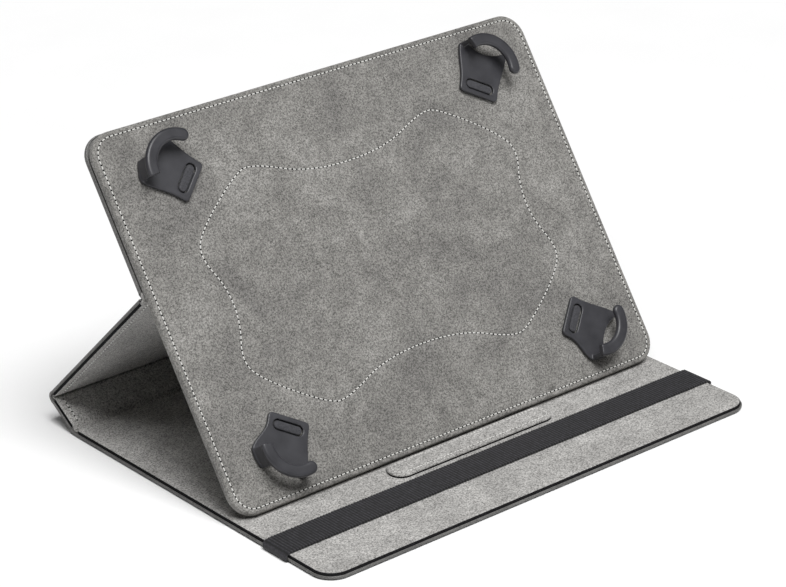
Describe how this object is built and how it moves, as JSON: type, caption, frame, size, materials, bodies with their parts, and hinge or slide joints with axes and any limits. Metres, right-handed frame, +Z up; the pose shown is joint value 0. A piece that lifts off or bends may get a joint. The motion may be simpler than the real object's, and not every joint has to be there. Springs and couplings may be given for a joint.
{
  "type": "folding tablet case",
  "caption": "Folding tablet case standing open: a flat front cover with a padded stop ridge and closing band, a spine and prop behind, and a holding plate with corner clips on elastic straps.",
  "frame": {"origin": "middle of the front cover's underside, which lies on the table", "axes": "+X along the folds, +Y from the front cover's free edge towards its fold and the spine, +Z up"},
  "size_m": [0.2584, 0.2121, 0.157],
  "materials": {
    "skin": "grey synthetic leather, fine grain",
    "board": "grey-brown stiffening board",
    "lining": "light grey suede-like microfibre",
    "plate_lining": "mid grey suede-like microfibre",
    "thread": "light sewing thread",
    "padding": "dense foam rubber",
    "adhesive": "double-sided adhesive sheet",
    "clip": "charcoal flexible plastic with a dull sheen",
    "elastic": "woven charcoal elastic"
  },
  "bodies": {
    "front_cover": {"front_cover_skin": "skin", "front_cover_board": "board", "front_cover_lining": "lining", "front_fold": "lining", "stop_ridge_core": "padding", "stop_ridge_cover": "lining", "stop_ridge_stitching": "thread", "band_end_left": "elastic", "band_end_right": "elastic"},
    "spine": {"spine_skin": "skin", "spine_board": "board", "spine_lining": "lining", "spine_stitching": "thread", "spine_fold": "lining"},
    "prop": {"prop_skin": "skin", "prop_board": "board", "prop_lining": "lining", "prop_stitching": "thread", "prop_fold": "lining"},
    "plate": {"rear_panel_skin": "skin", "rear_panel_board": "board", "rear_panel_stitching": "thread", "plate_glue_sheet": "adhesive", "plate_back_lining": "plate_lining", "plate_board": "board", "plate_face_lining": "plate_lining", "plate_edge_stitching": "thread", "centre_seam_stitching": "thread", "strap_top_left": "elastic", "strap_top_right": "elastic", "strap_bottom_left": "elastic", "strap_bottom_right": "elastic"},
    "band": {"elastic_band": "elastic"},
    "clip_body_top_left": {"clip_top_left": "clip", "anchor_top_left": "elastic"},
    "clip_body_top_right": {"clip_top_right": "clip", "anchor_top_right": "elastic"},
    "clip_body_bottom_left": {"clip_bottom_left": "clip", "anchor_bottom_left": "elastic"},
    "clip_body_bottom_right": {"clip_bottom_right": "clip", "anchor_bottom_right": "elastic"}
  },
  "joints": [
    {"name": "front_fold_hinge", "type": "hinge", "parent": "front_cover", "child": "spine", "pos_m": [0, 0.0965, 0.0015], "axis": [1, 0, 0], "range_deg": [-33, 0]},
    {"name": "spine_fold_hinge", "type": "hinge", "parent": "spine", "child": "prop", "pos_m": [0, 0.11495, 0.01348], "axis": [1, 0, 0], "range_deg": [-104.31, 0]},
    {"name": "prop_fold_hinge", "type": "hinge", "parent": "prop", "child": "plate", "pos_m": [0, 0.03115, 0.09077], "axis": [1, 0, 0], "range_deg": [0, 81.6]},
    {"name": "clip_pull_top_left", "type": "slide", "parent": "plate", "child": "clip_body_top_left", "axis": [-0.6947, 0.4039, 0.5952], "range_m": [0, 0.02], "stiffness_N_per_m": 150, "springref_m": -0.01},
    {"name": "clip_pull_top_right", "type": "slide", "parent": "plate", "child": "clip_body_top_right", "axis": [0.5446, 0.4709, 0.694], "range_m": [0, 0.02], "stiffness_N_per_m": 150, "springref_m": -0.01},
    {"name": "clip_pull_bottom_left", "type": "slide", "parent": "plate", "child": "clip_body_bottom_left", "axis": [-0.5592, -0.4655, -0.686], "range_m": [0, 0.012], "stiffness_N_per_m": 150, "springref_m": -0.01},
    {"name": "clip_pull_bottom_right", "type": "slide", "parent": "plate", "child": "clip_body_bottom_right", "axis": [0.7431, -0.3757, -0.5537], "range_m": [0, 0.012], "stiffness_N_per_m": 150, "springref_m": -0.01},
    {"name": "band_lift", "type": "slide", "parent": "front_cover", "child": "band", "axis": [0, 0, 1], "range_m": [0, 0.012], "stiffness_N_per_m": 100, "springref_m": -0.005}
  ],
  "couplings": [
    {"joint": "prop_fold_hinge", "follows": "spine_fold_hinge", "ratio": -0.78104}
  ]
}
